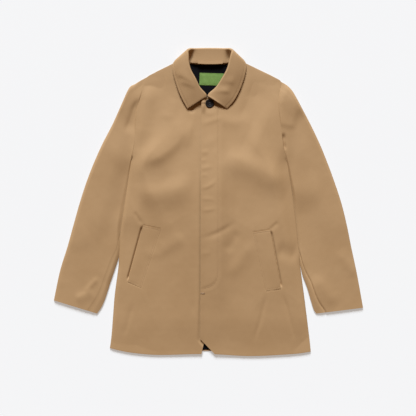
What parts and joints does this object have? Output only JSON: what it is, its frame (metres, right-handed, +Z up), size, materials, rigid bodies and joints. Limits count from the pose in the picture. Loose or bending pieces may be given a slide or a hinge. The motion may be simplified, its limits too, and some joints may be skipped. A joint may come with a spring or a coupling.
{
  "type": "mackintosh coat",
  "caption": "Single-breasted fly-front mackintosh in tan cotton gabardine, laid flat with its sleeves at its sides, with a pointed collar, slanted welt pockets and a dark lining.",
  "frame": {"origin": "middle of the coat's bounding box, on the surface it lies on", "axes": "+Z up from the surface, out of the coat's front; +Y from the hem to the collar; +X to the wearer's left"},
  "size_m": [0.9, 0.8946, 0.0261],
  "materials": {
    "gabardine": "matt fine twill",
    "lining": "smooth dark lining",
    "label": "woven, bare",
    "button": "polished, dark"
  },
  "bodies": {
    "root": {"back": "gabardine", "back_lining": "lining", "front_right": "gabardine", "front_left": "gabardine", "sleeve_right_top": "gabardine", "sleeve_right_under": "gabardine", "sleeve_left_top": "gabardine", "sleeve_left_under": "gabardine", "collar_stand": "gabardine", "collar_fall": "gabardine", "pocket_welt_right": "gabardine", "pocket_welt_left": "gabardine", "hanger_loop": "gabardine", "neck_label": "label", "neck_button": "button"}
  },
  "joints": []
}
